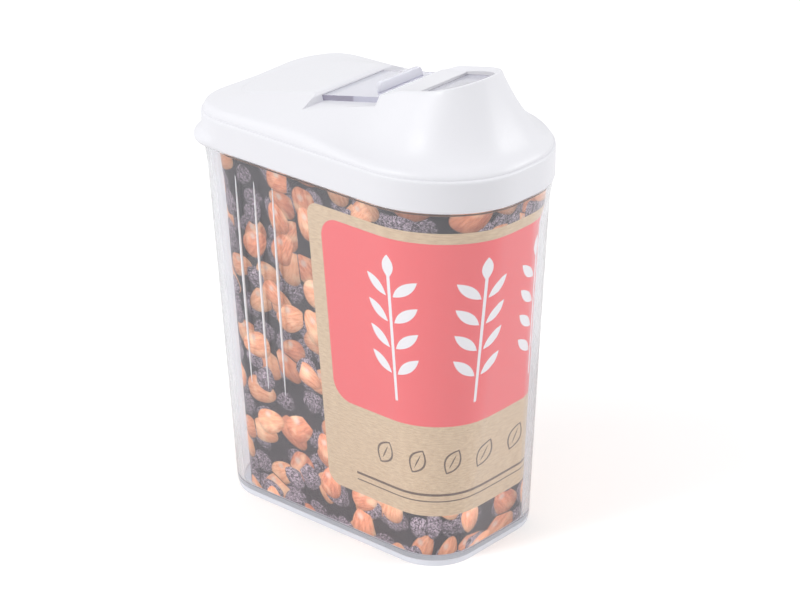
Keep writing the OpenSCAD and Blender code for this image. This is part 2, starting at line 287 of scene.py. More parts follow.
def rib_mesh(low_end, high_end):
    """A slim upright spindle, half sunk in the wall and leaning with it."""
    run = high_end - low_end
    sides = 20
    rings = []
    for t in (0.0, 0.006, 0.02, 0.05, 0.1, 0.2, 0.35, 0.5, 0.65, 0.8, 0.9, 0.95, 0.98, 0.994, 1.0):
        z = run.length * t
        radius = rib_radius * rib_share(z, run.length)
        turns = [math.tau * k / sides for k in range(sides)]
        rings.append([(radius * math.cos(a), radius * math.sin(a), z) for a in turns])
    upright = run.to_track_quat("Z", "Y").to_matrix().to_4x4()
    return stacked("rib", rings, to_metres @ Matrix.Translation(low_end) @ upright)


# The faces of the foot take the third material and those of the ribs the second
foot_top = foot_height + foot_step
rib_margin, end_margin = 1.02, 0.1
cup_mesh = combined(cup, [rib_mesh(*ends) for ends in rib_ends], "UNION")
smooth_to_edges(cup_mesh, 28)
for face in cup_mesh.polygons:
    spot = face.center / mm
    if spot.z < foot_top and face.normal.z < 0.5:
        face.material_index = 2
    for low_end, high_end in rib_ends:
        run = high_end - low_end
        reach = (spot - low_end).dot(run.normalized())
        away = (spot - low_end - run.normalized() * reach).length
        on_rib = away < rib_radius * rib_share(reach, run.length) * rib_margin
        if on_rib and -end_margin < reach < run.length + end_margin:
            face.material_index = 1


def paint(red, green, blue):
    """A colour for a shader, from the 0 to 255 levels that a screen shows."""
    return tuple(((c / 255 + 0.055) / 1.055) ** 2.4 if c > 10 else c / 3294.6
                 for c in (red, green, blue)) + (1.0,)


def new_material(name):
    """A material with its node tree, its Principled BSDF and its output node."""
    material = bpy.data.materials.new(name)
    material.use_nodes = True
    tree = material.node_tree
    return material, tree, tree.nodes["Principled BSDF"], tree.nodes["Material Output"]


def feed(tree, socket, value):
    """Links a socket to another socket, or sets its own value."""
    if isinstance(value, bpy.types.NodeSocket):
        tree.links.new(value, socket)
    else:
        socket.default_value = value


def new_node(tree, kind, values, **settings):
    """A node with its settings made and its inputs fed, in order or by their keys."""
    node = tree.nodes.new(kind)
    for name, setting in settings.items():
        setattr(node, name, setting)
    for key, value in values.items() if isinstance(values, dict) else enumerate(values):
        feed(tree, node.inputs[key], value)
    return node


def calc(tree, operation, *values):
    """The result of a math node on numbers or sockets."""
    return new_node(tree, "ShaderNodeMath", values, operation=operation).outputs[0]


def product(tree, first, *others):
    """Two or more numbers or sockets multiplied, from the left."""
    for value in others:
        first = calc(tree, "MULTIPLY", first, value)
    return first


def noise(tree, place, scale, detail=2.0, roughness=0.5, distortion=0.0):
    """The value of a noise texture at a place."""
    return new_node(tree, "ShaderNodeTexNoise", {
        "Vector": place, "Scale": scale, "Detail": detail, "Roughness": roughness,
        "Distortion": distortion}).outputs["Fac"]


def ease(tree, value, from_low, from_high, to_low=0.0, to_high=1.0):
    """A value carried smoothly from one range to another, and held at its ends."""
    return new_node(tree, "ShaderNodeMapRange", {
        "Value": value, "From Min": from_low, "From Max": from_high, "To Min": to_low,
        "To Max": to_high}, interpolation_type="SMOOTHSTEP").outputs[0]


def bumped(tree, surface, height, strength, distance):
    """Sends a height through a bump node to the surface's normal."""
    bump = new_node(tree, "ShaderNodeBump", {
        "Height": height, "Strength": strength, "Distance": distance})
    feed(tree, surface.inputs["Normal"], bump.outputs["Normal"])


def let_light_through(tree, surface, output, colour, share=1.0):
    """The plastic lets a share of lamp light and bounced light pass as plain tinted light."""
    ray = tree.nodes.new("ShaderNodeLightPath").outputs
    passing = calc(tree, "MAXIMUM", ray["Is Shadow Ray"], ray["Is Diffuse Ray"])
    if share < 1.0:
        passing = product(tree, passing, share)
    veil = new_node(tree, "ShaderNodeBsdfTransparent", {"Color": colour})
    blend = new_node(tree, "ShaderNodeMixShader", (passing, surface.outputs[0], veil.outputs[0]))
    feed(tree, output.inputs["Surface"], blend.outputs[0])


def clear_moulding(name, colour, roughness, clearness, veil_colour):
    """A clear or milky plastic. Clearness is the share of light that passes through it."""
    material, tree, surface, output = new_material(name)
    surface.inputs["Base Color"].default_value = colour
    surface.inputs["Roughness"].default_value = roughness
    surface.inputs["IOR"].default_value = 1.50
    surface.inputs["Transmission Weight"].default_value = clearness
    let_light_through(tree, surface, output, veil_colour)
    return material, tree, surface, output


def object_place(tree):
    return tree.nodes.new("ShaderNodeTexCoord").outputs["Object"]


clear_plastic, tree, surface, output = clear_moulding(
    "clear_plastic", paint(249, 249, 252), 0.012, 0.98, (0.995, 0.995, 1.0, 1.0))
bumped(tree, surface, noise(tree, object_place(tree), 40.0, 1.0), 0.02, 0.0004)
tint = new_node(tree, "ShaderNodeVolumeAbsorption", {
    "Color": (0.80, 0.82, 0.90, 1.0), "Density": 26.0})
tree.links.new(tint.outputs[0], output.inputs["Volume"])

# The ribs are made milky white as a painted highlight, for the white that the clear ribs reflect
# and refract
rib_painted_highlight, *_ = clear_moulding(
    "rib_painted_highlight", paint(252, 252, 255), 0.3, 0.2, (0.85, 0.85, 0.9, 1.0))

# The solid foot is made milky and a little blue as painted light, for the light that the clear foot
# catches in its thickness
foot_painted_light, *_ = clear_moulding(
    "foot_painted_light", paint(243, 246, 255), 0.03, 0.2, (0.98, 0.98, 1.0, 1.0))

cup_piece = place_piece("container_cup", cup_mesh, [clear_plastic, rib_painted_highlight, foot_painted_light],
                        "container", "container")
broad_faces = cup_piece.modifiers.new("broad_faces_lead", "WEIGHTED_NORMAL")
broad_faces.weight = 90
broad_faces.keep_sharp = True

# ---- Card sleeve ----------------------------------------------------------------------
# A band of printed card that lines the container. It is die-cut, glued at the rear, slipped
# in from above, and stands on the floor a little ahead of the rear wall.
card_thickness = 0.4
card_gap = 0.5
card_out = -wall - card_gap
card_rear_room = 3.6
card_bottom = floor_thickness + 0.2
card_top = neck_top - 8.7
card_steps = 12
# The sheet's lengths round the canister are measured at this height
measured_z = 60.0


def card_outline(z, off):
    """The wall's outline at height z moved by off, and drawn forward at the rear."""
    middle = -base_length / 6
    return [(x + card_rear_room * (1 - smooth(-base_length / 2, middle, x)), y)
            for x, y in wall_outline(z, off)]


card_levels = [mix(card_bottom, card_top, i / card_steps) for i in range(card_steps + 1)]
card_rings = [level(card_outline(z, card_out), z) for z in card_levels]
card_rings += [level(card_outline(z, card_out - card_thickness), z) for z in reversed(card_levels)]
card_mesh = skin("card", card_rings, tube=True)
smooth_to_edges(card_mesh, 50)

# Each face corner gets its place on the flat sheet in mm: how far round from the nose, how
# high, and whether it is on the printed side (0) or on the plain board (1)
flat_half = card_outline(measured_z, card_out)
flat_ring = mirrored(flat_half)
rounds = [0.0]
for a, b in zip(flat_ring, flat_ring[1:] + flat_ring[:1]):
    rounds.append(rounds[-1] + math.dist(a, b))
nose_round = rounds[len(flat_half) - 1]
around = len(flat_ring)
sheet_places = card_mesh.attributes.new("sheet_place", "FLOAT_VECTOR", "CORNER")
for face in card_mesh.polygons:
    corners = [card_mesh.loops[k].vertex_index for k in face.loop_indices]
    plain = 0.0 if max(corners) // around < len(card_levels) else 1.0
    columns = [corner % around for corner in corners]
    wraps = max(columns) - min(columns) > around // 2
    for k, corner, column in zip(face.loop_indices, corners, columns):
        round_here = rounds[around] if wraps and column == 0 else rounds[column]
        height = card_mesh.vertices[corner].co.z / mm
        sheet_places.data[k].vector = (round_here - nose_round, height, plain)


def blend_colours(tree, share, first, second):
    """The first colour, covered by the second by its share."""
    return new_node(tree, "ShaderNodeMix", {0: share, 6: first, 7: second},
                    data_type="RGBA").outputs[2]


def shade_colour(tree, colour, light):
    """A colour made lighter or darker by a value."""
    return new_node(tree, "ShaderNodeVectorMath", {0: colour, "Scale": light},
                    operation="SCALE").outputs[0]


def vector_calc(tree, operation, *values):
    """The result of a vector math node: a number for a length, else a vector."""
    outputs = new_node(tree, "ShaderNodeVectorMath", values, operation=operation).outputs
    return outputs["Value" if operation == "LENGTH" else "Vector"]


def split(tree, vector):
    """The three numbers of a vector."""
    return new_node(tree, "ShaderNodeSeparateXYZ", [vector]).outputs


def join(tree, x, y, z=0.0):
    """A vector of three numbers."""
    return new_node(tree, "ShaderNodeCombineXYZ", (x, y, z)).outputs[0]


def seed_layer_group():
    """One loose layer of printed seeds. Each cell of the sheet holds one seed, turned, sized and
    toned by chance from the cell's own number."""
    randomness, shift_aslant = 0.62, 0.37
    full_turn = 6.283
    size_spread, least_size = 0.28, 0.84
    point_slimming, end_power, side_power = -0.26, 2.2, 2.0
    dome_light, least_light, side_share = 0.46, 0.42, 0.24
    light_across, light_up = -0.4, 0.85
    gleam_left, gleam_up, gleam_edge, gleam_core = 0.22, 0.42, 0.34, 0.05
    tone_step = 7.0
    grain_along, grain_across, grain_step = 0.8, 2.6, 40.0

    group = bpy.data.node_groups.new("seed_layer", "ShaderNodeTree")
    sockets = group.interface
    sockets.new_socket("Place", in_out="INPUT", socket_type="NodeSocketVector")
    for name, value in (("Cell", 10.0), ("Shift", 0.0), ("Length", 4.6), ("Width", 3.3),
                        ("Share", 0.7)):
        socket = sockets.new_socket(name, in_out="INPUT", socket_type="NodeSocketFloat")
        socket.default_value = value
    for name in ("Mask", "Light", "Gleam", "Tone"):
        sockets.new_socket(name, in_out="OUTPUT", socket_type="NodeSocketFloat")
    sockets.new_socket("Grain", in_out="OUTPUT", socket_type="NodeSocketVector")
    given = group.nodes.new("NodeGroupInput").outputs
    result = group.nodes.new("NodeGroupOutput").inputs
    cell = given["Cell"]

    def work(operation, *values):
        return calc(group, operation, *values)

    # The sheet counted in cells, with a shift of its own for each layer
    shift = join(group, given["Shift"], work("MULTIPLY", given["Shift"], shift_aslant))
    cells = vector_calc(group, "DIVIDE", given["Place"], join(group, cell, cell, 1.0))
    cells = vector_calc(group, "ADD", cells, shift)
    nearest, borders = [new_node(group, "ShaderNodeTexVoronoi", {
        "Vector": cells, "Scale": 1.0, "Randomness": randomness,
    }, feature=feature, voronoi_dimensions="2D") for feature in ("F1", "DISTANCE_TO_EDGE")]
    chance = split(group, nearest.outputs["Color"])

    # The seed's own axes, from the middle of its cell
    offset = split(group, vector_calc(group, "SUBTRACT", cells, nearest.outputs["Position"]))
    right, up = (work("MULTIPLY", offset[i], cell) for i in (0, 1))
    turn = new_node(group, "ShaderNodeVectorRotate", {
        "Vector": join(group, right, up), "Angle": work("MULTIPLY", chance[0], full_turn),
    }, rotation_type="Z_AXIS")
    turned = split(group, turn.outputs[0])
    size = work("MULTIPLY_ADD", chance[1], size_spread, least_size)
    length = work("MULTIPLY", given["Length"], size)
    width = work("MULTIPLY", given["Width"], size)
    lengthways = work("DIVIDE", turned[0], length)
    # The pointed end is slimmer than the blunt one
    taper = work("MULTIPLY_ADD", lengthways, point_slimming, 1.0)
    crossways = work("DIVIDE", turned[1], work("MULTIPLY", width, taper))

    # The seed's body, cut off where the next cell begins
    to_end = work("POWER", work("ABSOLUTE", lengthways), end_power)
    to_side = work("POWER", work("ABSOLUTE", crossways), side_power)
    from_heart = work("SQRT", work("ADD", to_end, to_side))
    body = ease(group, from_heart, 1.0, 0.93)
    border = ease(group, work("MULTIPLY", borders.outputs["Distance"], cell), 0.02, 0.3)
    present = work("LESS_THAN", chance[2], given["Share"])
    feed(group, result["Mask"], product(group, body, border, present))

    # Its roundness, lit from the upper left
    domed = work("MULTIPLY_ADD", work("MULTIPLY", from_heart, from_heart), -1.0, 1.0)
    dome = work("SQRT", work("MAXIMUM", domed, 0.0))
    half = work("MULTIPLY", work("ADD", length, width), 0.5)
    side_light = work("DIVIDE", work("ADD", work("MULTIPLY", right, light_across),
                                     work("MULTIPLY", up, light_up)), half)
    feed(group, result["Light"], work("ADD", work("MULTIPLY_ADD", dome, dome_light, least_light),
                                      work("MULTIPLY", side_light, side_share)))
    gleam_x = work("ADD", work("DIVIDE", right, half), gleam_left)
    gleam_y = work("SUBTRACT", work("DIVIDE", up, half), gleam_up)
    from_gleam = work("SQRT", work("ADD", work("MULTIPLY", gleam_x, gleam_x),
                                   work("MULTIPLY", gleam_y, gleam_y)))
    feed(group, result["Gleam"], ease(group, from_gleam, gleam_edge, gleam_core))
    feed(group, result["Tone"], work("FRACT", work("MULTIPLY", chance[2], tone_step)))
    grain = join(group, work("MULTIPLY", lengthways, grain_along),
                 work("MULTIPLY", crossways, grain_across), work("MULTIPLY", chance[2], grain_step))
    feed(group, result["Grain"], grain)
    return group


seed_layer = seed_layer_group()
berry_dark, berry_pale, berry_dust = paint(52, 38, 48), paint(204, 184, 196), paint(236, 226, 234)
kernel_tan = paint(230, 150, 112), paint(250, 190, 146)
kernel_dark = paint(192, 108, 80), paint(220, 142, 102)
kernel_mottle, kernel_gleam = paint(252, 214, 174), paint(255, 240, 226)
# Half the length and half the width of a seed, in mm
berry_size, kernel_size = (4.3, 3.5), (5.8, 4.2)


def seeds(tree, place, cell, shift, size, share):
    """The outputs of one layer of seeds on the sheet."""
    return new_node(tree, "ShaderNodeGroup", {
        "Place": place, "Cell": cell, "Shift": shift, "Length": size[0], "Width": size[1],
        "Share": share}, node_tree=seed_layer).outputs


def berry_layer(tree, ground, place, cell, shift, share):
    """Covers the ground with dark dried berries that have wrinkled, dusty skins."""
    layer = seeds(tree, place, cell, shift, berry_size, share)
    wrinkle = noise(tree, place, 0.85, 5.0, 0.72, 2.4)
    dust_place = vector_calc(tree, "ADD", place, (31.0, 7.0, 0.0))
    dust = ease(tree, noise(tree, dust_place, 1.9, 3.0, 0.7, 0.8), 0.56, 0.72)
    berry = blend_colours(tree, ease(tree, wrinkle, 0.45, 0.6), berry_dark, berry_pale)
    berry = blend_colours(tree, product(tree, dust, 0.75), berry, berry_dust)
    lit = shade_colour(tree, berry, product(tree, layer["Light"], 1.45))
    return blend_colours(tree, layer["Mask"], shade_colour(tree, ground, 0.8), lit)


def kernel_layer(tree, ground, place, cell, shift, share):
    """Covers the ground with brown kernels that have a fine grain and a soft gleam."""
    layer = seeds(tree, place, cell, shift, kernel_size, share)
    grain = noise(tree, layer["Grain"], 2.2, 3.0, 0.6, 0.2)
    mottle_place = vector_calc(tree, "ADD", place, (5.0, 17.0, 0.0))
    mottle = ease(tree, noise(tree, mottle_place, 0.2, 1.0, 0.4, 0.2), 0.48, 0.8)
    tan = blend_colours(tree, layer["Tone"], *kernel_tan)
    dark = blend_colours(tree, layer["Tone"], *kernel_dark)
    kernel = blend_colours(tree, ease(tree, grain, 0.26, 0.72), dark, tan)
    kernel = blend_colours(tree, product(tree, mottle, 0.7), kernel, kernel_mottle)
    lit = shade_colour(tree, kernel, product(tree, layer["Light"], 1.7))
    lit = blend_colours(tree, product(tree, layer["Gleam"], 0.6), lit, kernel_gleam)
    return blend_colours(tree, layer["Mask"], shade_colour(tree, ground, 0.9), lit)


def rounded_block(tree, place, half_width, low, high, corner):
    """1 inside a block on the sheet, centred on the nose, with rounded corners, else 0."""
    soft = 0.08
    across, height, _ = split(tree, place)
    from_middle = calc(tree, "SUBTRACT", height, (low + high) / 2)
    dx = calc(tree, "SUBTRACT", calc(tree, "ABSOLUTE", across), half_width - corner)
    dy = calc(tree, "SUBTRACT", calc(tree, "ABSOLUTE", from_middle), (high - low) / 2 - corner)
    outside = vector_calc(tree, "MAXIMUM", join(tree, dx, dy), (0.0, 0.0, 0.0))
    return ease(tree, vector_calc(tree, "LENGTH", outside), corner + soft, corner - soft)


def leaf(tree, across, up, middle, tilt, size):
    """1 inside a slim leaf, else 0. across and up are sockets in mm, tilt is in degrees, and
    the size is half the length and half the width."""
    c, s = math.cos(math.radians(tilt)), math.sin(math.radians(tilt))
    length, width = size
    dx = calc(tree, "SUBTRACT", across, middle[0])
    dy = calc(tree, "SUBTRACT", up, middle[1])
    lengthways = calc(tree, "ADD", product(tree, dx, c / length), product(tree, dy, s / length))
    crossways = calc(tree, "ADD", product(tree, dx, -s / width), product(tree, dy, c / width))
    crossways = calc(tree, "ABSOLUTE", crossways)
    inside = calc(tree, "ADD", crossways, product(tree, lengthways, lengthways))
    return ease(tree, inside, 1.06, 0.96)


def between(tree, value, low, high, soft=0.08):
    """1 where a value lies between two bounds, else 0."""
    above = ease(tree, value, low - soft, low + soft)
    return product(tree, above, ease(tree, value, high + soft, high - soft))


def repeated(tree, value, pitch):
    """A value that starts again with each pitch and is 0 in its middle."""
    return calc(tree, "SUBTRACT", calc(tree, "FLOORED_MODULO", value, pitch), pitch / 2)


printed_card, tree, surface, _ = new_material("printed_card")
sheet = new_node(tree, "ShaderNodeAttribute", [], attribute_name="sheet_place").outputs["Vector"]
across, up, plain_side = split(tree, sheet)
from_nose = calc(tree, "ABSOLUTE", across)

# The pile of berries and kernels, from the bottom layer to the top one
pile = blend_colours(tree, noise(tree, sheet, 0.6, 3.0), paint(38, 30, 38), paint(84, 70, 80))
pile = berry_layer(tree, pile, sheet, 9.0, 2.3, 1.0)
pile = kernel_layer(tree, pile, sheet, 11.2, 8.1, 0.84)
pile = berry_layer(tree, pile, sheet, 9.6, 21.7, 0.42)
pile = kernel_layer(tree, pile, sheet, 12.0, 34.9, 0.6)
# Painted light and shade: the pile is made lighter towards the floor and darker towards the top,
# for how the light falls on it
painted_light_low, painted_shade_high = 1.12, 0.90
pile = shade_colour(tree, pile, ease(tree, up, 8.0, 100.0, painted_light_low, painted_shade_high))

# The label: a light brown panel with a coral block, white sprigs on the block, seeds in
# outline and a double line below it
panel_half, panel_low, panel_high, panel_corner = 65.5, 16.5, 108.4, 4.5
block_margin, block_low, block_high, block_corner = 5.0, 46.4, 104.9, 6.5
fibre = noise(tree, vector_calc(tree, "MULTIPLY", sheet, (0.35, 2.2, 1.0)), 1.1, 4.0, 0.7)
fibre = ease(tree, fibre, 0.35, 0.65)
fleck = ease(tree, noise(tree, sheet, 2.4, 2.0, 0.6), 0.62, 0.7)
brown = blend_colours(tree, fibre, paint(212, 182, 146), paint(232, 206, 170))
brown = blend_colours(tree, product(tree, fleck, 0.35), brown, paint(168, 132, 106))
panel = rounded_block(tree, sheet, panel_half, panel_low, panel_high, panel_corner)
print_colour = blend_colours(tree, panel, pile, brown)
block = rounded_block(tree, sheet, panel_half - block_margin, block_low, block_high, block_corner)
print_colour = blend_colours(tree, block, print_colour, paint(255, 102, 105))

# The sprigs' own heights are counted from this height on the sheet
sprig_zero = 3.4
sprig_pitch, leaf_pitch = 24.0, 8.2
leaf_middle, leaf_tilt, leaf_size = (4.2, 4.1), 42, (4.3, 1.5)
leaves_low, leaves_high = 57.4, 90.2
stem_low, stem_high, stem_half, stem_soft = 50.0, 90.0, 0.5, 0.14
crown_middle, crown_size = (0.0, 92.6), (3.6, 1.5)
row_half = 48.0
sprig_up = calc(tree, "SUBTRACT", up, sprig_zero)
sprig_across = calc(tree, "ABSOLUTE", repeated(tree, across, sprig_pitch))
leaf_up = calc(tree, "FLOORED_MODULO", sprig_up, leaf_pitch)
leaves = product(tree, leaf(tree, sprig_across, leaf_up, leaf_middle, leaf_tilt, leaf_size),
                 between(tree, sprig_up, leaves_low, leaves_high, 0.01))
stem = product(tree, ease(tree, sprig_across, stem_half, stem_half - stem_soft),
               between(tree, sprig_up, stem_low, stem_high, 0.3))
crown = leaf(tree, sprig_across, sprig_up, crown_middle, 90, crown_size)
sprigs = calc(tree, "MAXIMUM", calc(tree, "MAXIMUM", leaves, stem), crown)
sprigs = product(tree, sprigs, between(tree, from_nose, -1.0, row_half, 0.01))
print_colour = blend_colours(tree, sprigs, print_colour, paint(252, 250, 250))

seed_pitch, seed_middle, seed_tilt = 12.0, (0.0, 34.5), 62
seed_across = repeated(tree, across, seed_pitch)
seed_out, seed_in, vein = [leaf(tree, seed_across, up, seed_middle, seed_tilt, size)
                           for size in ((4.4, 2.9), (3.8, 2.25), (2.6, 0.24))]
outline = calc(tree, "MAXIMUM", calc(tree, "SUBTRACT", seed_out, seed_in), vein)
outline = product(tree, outline, calc(tree, "LESS_THAN", from_nose, row_half))
double_line = calc(tree, "MAXIMUM", between(tree, up, 23.2, 24.0), between(tree, up, 21.2, 21.6))
line_half = 54.0
marks = product(tree, calc(tree, "MAXIMUM", outline, double_line),
                between(tree, from_nose, -1.0, line_half, 0.1))
print_colour = blend_colours(tree, marks, print_colour, paint(108, 84, 70))

# A glued seam runs up the rear, and the back and the edges of the sheet are plain board
seam = ease(tree, from_nose, nose_round - 0.5, nose_round - 0.2)
print_colour = blend_colours(tree, product(tree, seam, 0.5), print_colour, paint(236, 230, 222))
board_mottle = noise(tree, sheet, 1.6, 3.0)
board = blend_colours(tree, board_mottle, paint(196, 158, 136), paint(214, 178, 154))
feed(tree, surface.inputs["Base Color"], blend_colours(tree, plain_side, print_colour, board))
feed(tree, surface.inputs["Roughness"], ease(tree, plain_side, 0.0, 1.0, 0.42, 0.8))
bumped(tree, surface, noise(tree, sheet, 0.5, 2.0), 0.25, 0.0002)

place_piece("card_sleeve", card_mesh, [printed_card], "container", "inlay_card")

# ---- Lid ------------------------------------------------------------------------------
# One white polypropylene moulding: a skirt with a pull lip behind, a dome that climbs to the
# pouring spout, a slot across the roof, and the tunnel in which the shutter runs.
lid_top = shoulder_height + 9.6
roof_rise = 22.4
slope = math.radians(12.4)
slope_tan, slope_cos = math.tan(slope), math.cos(slope)
roof_skin = 1.3
plate_thickness = 1.6
plate_gap = 0.2
bed_depth = roof_skin + plate_gap + plate_thickness + plate_gap
bed_thickness = 1.4
slab_depth = bed_depth + bed_thickness
roof_rear_half, roof_rear_setback = 19.6, 4.6
roof_corner = rear_corner - 3
# The roof widens backwards from the spout, in one part evenly and in the other ever faster
even_part, curved_part = 0.3, 0.7
skirt_proud, lip_flare, lip_height, lip_fade = 1.12, 2.3, 4.4, 0.62
spout_x, spout_radius = 27.7, 13.7
hole_x, hole_radius = 22.5, 11.66
slot_rear, slot_front, slot_roll = 10.9, 11.7, 1.8
rim_rise, rim_sweep, rim_curl, rim_depth = 0.7, 7.5, 0.0062, 1.4
# The dish runs on past the edge of the hole, which is cut through it
dish_overrun = 0.5
rim_width = spout_radius - hole_radius + dish_overrun
bridge_drop, fold_round = 0.7, 0.4
travel = 17.4
# The dome's shoulder at the rear and in front: how far it runs in, how high it climbs, and the
# power that bends the slope above it. It changes over between dome_rear and dome_front
shoulder_in, shoulder_up, slope_power = (2.2, 2.4), (2.7, 1.8), (0.94, 1.75)
shoulder_in_most, shoulder_up_most = 0.5, 0.75
dome_rear, dome_front = -6, 26
# The underside of the roof is thin at the very rear, and as deep as the slab further ahead
rear_depth, slab_rear, slab_front = 2.2, -43, -36


def roof_z(x):
    return shoulder_height + roof_rise + slope_tan * x


def swept(x):
    return smooth(slot_front, slot_front + rim_sweep, x)


def crest_lift(x):
    """Height of the fold above the roof plane: it sinks along the slot and rises to the rim."""
    return (-bridge_drop * smooth(-slot_rear, slot_front, x) + (bridge_drop + rim_rise) * swept(x)
            + rim_curl * max(0.0, x - spout_x) ** 2)


def roof_outline(grow_spout, grow_rear):
    """One half of the roof's outline, broad at the rear and narrow at the spout."""
    near, far = spout_radius + grow_spout, roof_rear_half + grow_rear
    rear_x = -mouth_length / 2 + roof_rear_setback - min(0.0, grow_rear)
    side_end = rear_x + roof_corner

    def half_width(x):
        t = (spout_x - x) / (spout_x + mouth_length / 2 - roof_rear_setback)
        return near + (far - near) * (even_part * t + curved_part * t * t)

    corner_centre = (side_end, -half_width(side_end) + roof_corner)
    points = [(rear_x, 0.0)] + arc(corner_centre, roof_corner, 180, 90, rear_steps)
    for i in range(1, side_steps):
        x = mix(side_end, spout_x, i / side_steps)
        points.append((x, -half_width(x)))
    points += [(mix(spout_x, x, slope_cos), y)
               for x, y in arc((spout_x, 0.0), near, -90, 80, front_steps)]
    return points + [(spout_x + near * slope_cos, 0.0)]


def dome_ring(low, low_z, high, high_lift, u):
    """A ring of the dome, a share u of the way up: a rounded shoulder, then a slope that turns
    hollow towards the spout."""
    ring = []
    for a, b in zip(low, high):
        high_z = roof_z(b[0]) + high_lift(b[0])
        front = smooth(dome_rear, dome_front, b[0])
        shoulder_w = min(shoulder_in_most, mix(*shoulder_in, front) / math.dist(a, b))
        shoulder_h = min(shoulder_up_most, mix(*shoulder_up, front) / (high_z - low_z))
        v = min(1.0, u / shoulder_w)
        rise = (shoulder_h * math.sqrt(1 - (1 - v) ** 2)
                + (1 - shoulder_h) * u ** mix(*slope_power, front))
        ring.append((mix(a[0], b[0], u), mix(a[1], b[1], u), mix(low_z, high_z, rise)))
    return ring


def crest_ring(inset, sag, share):
    """A ring of the fold, below its crest by sag, and into the dish by a share of its depth."""
    return [(x, y, roof_z(x) + crest_lift(x) - sag - share * rim_depth * swept(x))
            for x, y in roof_outline(-inset, -inset)]


def flared(off, flare, z):
    """The skirt's outline with the pull lip, which fades out round the rear corners."""
    ring = []
    for i, (a, b) in enumerate(zip(mouth_outline(off), mouth_outline(off + flare))):
        weight = 1.0 if i == 0 else 1 - smooth(lip_fade, 1, (i - 1) / rear_steps)
        ring.append((mix(a[0], b[0], weight), mix(a[1], b[1], weight), z))
    return ring


def slab_lift(x):
    return -mix(rear_depth, slab_depth / slope_cos, smooth(slab_rear, slab_front, x))


def fold_lift(x):
    return crest_lift(x) - fold_round


skirt_room, seal_gap, seal_width = 0.3, 0.3, 1.2
skirt_in = -neck_inset + skirt_room
seal_out = neck_inner - seal_gap
seal_in = seal_out - seal_width
seal_root, seal_lead, edge_bevel = 1.4, 1, 0.3
# The dome's outer skin starts just outside the mouth's outline, and its inner skin just
# outside the neck's inner face
dome_foot, dome_z, inner_z, inner_foot_z = 0.4, lid_top + 0.1, lid_top - 0.6, lid_top - 0.9
outer_low, outer_high = mouth_outline(dome_foot), roof_outline(0, 0)
inner_low, inner_high = mouth_outline(neck_inner + dome_foot), roof_outline(0.4, 3.6)
# Shares of the lip's height and of its flare, and how far the ring is drawn in
lip_steps = [(0.0, 0.4, 0.4), (0.05, 0.62, 0.12), (0.12, 0.8, 0), (0.22, 0.95, 0),
             (0.35, 1.0, 0), (0.45, 0.97, 0), (0.55, 0.85, 0), (0.7, 0.52, 0), (0.85, 0.2, 0),
             (0.95, 0.05, 0), (1.0, 0.0, 0)]
# How far the skirt's upper edge is drawn in, and how far it lies below the lid's top line
edge_steps = [(0, 1.1), (0, 0.7), (0.07, 0.35), (0.25, 0.1), (0.5, -0.02)]
dome_steps = [0.004, 0.015, 0.03, 0.05, 0.075, 0.1, 0.13, 0.165]
dome_steps += [0.2 + 0.8 * i / 22 for i in range(23)]
# Shares of the rim's width, of the fold's rounding and of the dish's depth
crest_steps = [(0.1, 0.5, 0.0), (0.2, 0.22, 0.0), (0.3, 0.06, 0.03), (0.42, 0.0, 0.1),
               (0.54, 0.0, 0.26), (0.66, 0.0, 0.48), (0.78, 0.0, 0.72), (0.9, 0.0, 0.92),
               (1.0, 0.0, 1.0)]
lid_rings = [dome_ring(inner_low, inner_z, inner_high, slab_lift, u)
             for u in (1, 0.8, 0.6, 0.4, 0.2, 0.1)]
lid_rings += [
    level(inner_low, inner_foot_z),
    mouth_ring(seal_in, seat_z + seal_root),
    mouth_ring(seal_in, seat_z - seal_depth),
    mouth_ring(seal_out - edge_bevel, seat_z - seal_depth),
    mouth_ring(seal_out, seat_z - seal_depth + seal_lead),
    mouth_ring(seal_out, seat_z),
    mouth_ring(skirt_in, seat_z),
    mouth_ring(skirt_in, shoulder_height + edge_bevel),
    mouth_ring(skirt_in + edge_bevel, shoulder_height),
]
lid_rings += [flared(skirt_proud - draw_in, lip_flare * share, shoulder_height + lip_height * t)
              for t, share, draw_in in lip_steps]
lid_rings += [mouth_ring(skirt_proud - draw_in, lid_top - drop)
              for draw_in, drop in edge_steps]
lid_rings += [level(outer_low, dome_z)]
lid_rings += [dome_ring(outer_low, dome_z, outer_high, fold_lift, u) for u in dome_steps]
lid_rings += [crest_ring(rim_width * inset, fold_round * sag, share)
              for inset, sag, share in crest_steps]

# The roof plane as a frame: X climbs along the roof and Z leaves it
roof_frame = (Matrix.Translation((0, 0, shoulder_height + roof_rise))
              @ Matrix.Rotation(-slope, 4, "Y"))
roof_placing = to_metres @ roof_frame


def prism(name, outline, low, high, side_view=False):
    """A prism on the roof plane. Its outline is a plan, or a side view that runs across the
    lid."""
    shape = bmesh.new()
    if side_view:
        corners = [shape.verts.new((x, low, z)) for x, z in outline]
        push = Vector((0, high - low, 0))
    else:
        corners = [shape.verts.new((x, y, low)) for x, y in outline]
        push = Vector((0, 0, high - low))
    pushed = bmesh.ops.extrude_face_region(shape, geom=[shape.faces.new(corners)])["geom"]
    moved = [part for part in pushed if isinstance(part, bmesh.types.BMVert)]
    bmesh.ops.translate(shape, vec=push, verts=moved)
    bmesh.ops.recalc_face_normals(shape, faces=shape.faces)
    mesh = bpy.data.meshes.new(name)
    shape.to_mesh(mesh)
    shape.free()
    mesh.transform(roof_placing)
    return mesh


def along(x):
    """A distance along the roof for one along the lid."""
    return x / slope_cos


plate_half = 13.4
plate_round = 12.3
plate_rear = slot_rear + 2.6
plate_step_x = slot_front - 1.1
nose_steps = 60


